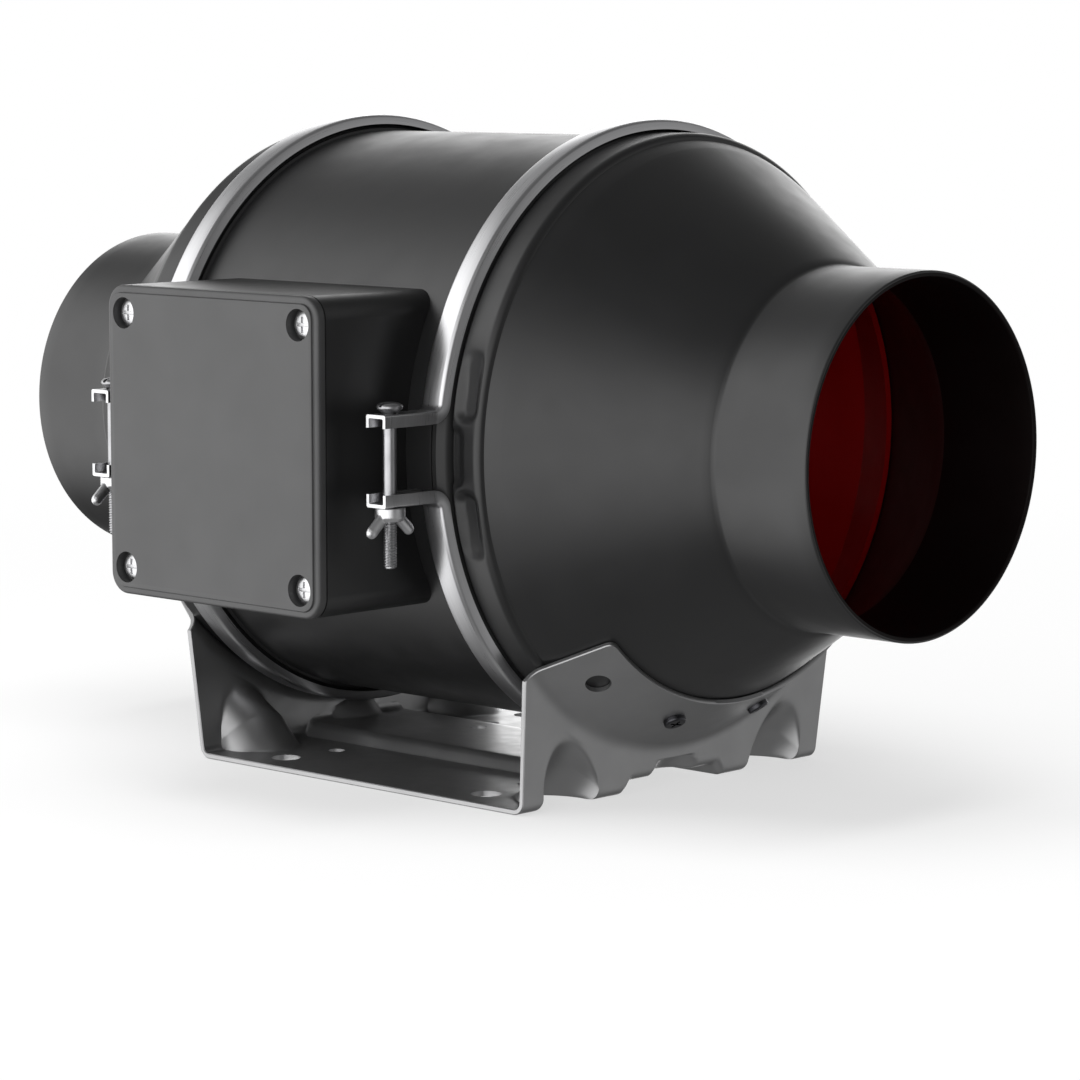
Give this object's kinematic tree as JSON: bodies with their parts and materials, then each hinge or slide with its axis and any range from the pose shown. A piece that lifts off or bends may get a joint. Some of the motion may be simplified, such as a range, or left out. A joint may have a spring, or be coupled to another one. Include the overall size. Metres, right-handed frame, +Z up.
{
  "type": "inline duct fan",
  "caption": "Inline mixed-flow duct fan with cone end caps, clamp bands with wing nuts, folded steel bracket and side terminal box.",
  "frame": {"origin": "centre of the bracket's underside, below the middle of the duct axis", "axes": "+X along the duct axis towards the outlet spigot, terminal box towards -Y, +Z up"},
  "size_m": [0.301, 0.1994, 0.1835],
  "materials": {
    "black_plastic": "fine satin moulded black",
    "cover_plastic": "satin moulded dark grey",
    "bracket_steel": "satin grey coated sheet steel",
    "band_steel": "bright rolled strip",
    "zinc_steel": "bright zinc plated",
    "black_zinc": "black zinc plated",
    "seal_rubber": "matt black rubber",
    "red_plastic": "dark red moulded plastic",
    "impeller_plastic": "dark red moulded plastic",
    "gland_plastic": "black nylon",
    "block_plastic": "off-white nylon",
    "capacitor_case": "pale grey case",
    "spring_steel": "plain spring strip",
    "lead_sheath": "black cable sheath",
    "shield_aluminium": "die cast",
    "lamination_steel": "varnished stack of laminations",
    "copper": "enamelled copper wire",
    "bearing_steel": "ground steel"
  },
  "bodies": {
    "fan_frame": {"motor_casing": "black_plastic", "inlet_cone": "black_plastic", "outlet_cone": "black_plastic", "terminal_box": "black_plastic", "bracket": "bracket_steel", "inlet_clamp_band": "band_steel", "outlet_clamp_band": "band_steel", "inlet_clamp_bolt": "zinc_steel", "outlet_clamp_bolt": "zinc_steel", "box_screws": "zinc_steel", "block_screws": "zinc_steel", "terminal_screws": "zinc_steel", "shield_bolts": "zinc_steel", "motor_screws": "zinc_steel", "saddle_screws": "black_zinc", "inlet_seal": "seal_rubber", "outlet_seal": "seal_rubber", "cover_gasket": "seal_rubber", "lead_grommet": "seal_rubber", "gland_seal": "seal_rubber", "guide_vane_ring": "red_plastic", "tail_cone": "red_plastic", "gland_body": "gland_plastic", "gland_locknut": "gland_plastic", "terminal_block": "block_plastic", "capacitor": "capacitor_case", "capacitor_clip": "spring_steel", "motor_lead": "lead_sheath", "capacitor_leads": "lead_sheath", "front_shield": "shield_aluminium", "rear_shield": "shield_aluminium", "stator_core": "lamination_steel", "stator_windings": "copper", "bearing_outer_rings": "bearing_steel", "bearing_balls": "bearing_steel"},
    "impeller_rotor": {"impeller": "impeller_plastic", "impeller_nut": "zinc_steel", "motor_shaft": "bearing_steel", "rotor": "lamination_steel", "bearing_inner_rings": "bearing_steel"},
    "inlet_nut": {"inlet_wing_nut": "zinc_steel"},
    "outlet_nut": {"outlet_wing_nut": "zinc_steel"},
    "cover": {"terminal_cover": "cover_plastic", "cover_screws": "zinc_steel"},
    "gland_cap": {"gland_nut": "gland_plastic"}
  },
  "joints": [
    {"name": "impeller_spin", "type": "hinge", "parent": "fan_frame", "child": "impeller_rotor", "pos_m": [0, 0, 0.0975], "axis": [1, 0, 0], "continuous": true},
    {"name": "inlet_wing_nut_turn", "type": "hinge", "parent": "fan_frame", "child": "inlet_nut", "pos_m": [-0.0545, -0.1, 0.083], "axis": [0, 0, 1], "continuous": true},
    {"name": "outlet_wing_nut_turn", "type": "hinge", "parent": "fan_frame", "child": "outlet_nut", "pos_m": [0.0545, -0.1, 0.083], "axis": [0, 0, 1], "continuous": true},
    {"name": "cover_lift_off", "type": "slide", "parent": "fan_frame", "child": "cover", "axis": [0, -1, 0], "range_m": [0, 0.06]},
    {"name": "gland_nut_turn", "type": "hinge", "parent": "fan_frame", "child": "gland_cap", "pos_m": [-0.05, -0.0915, 0.1195], "axis": [-1, 0, 0], "continuous": true}
  ]
}
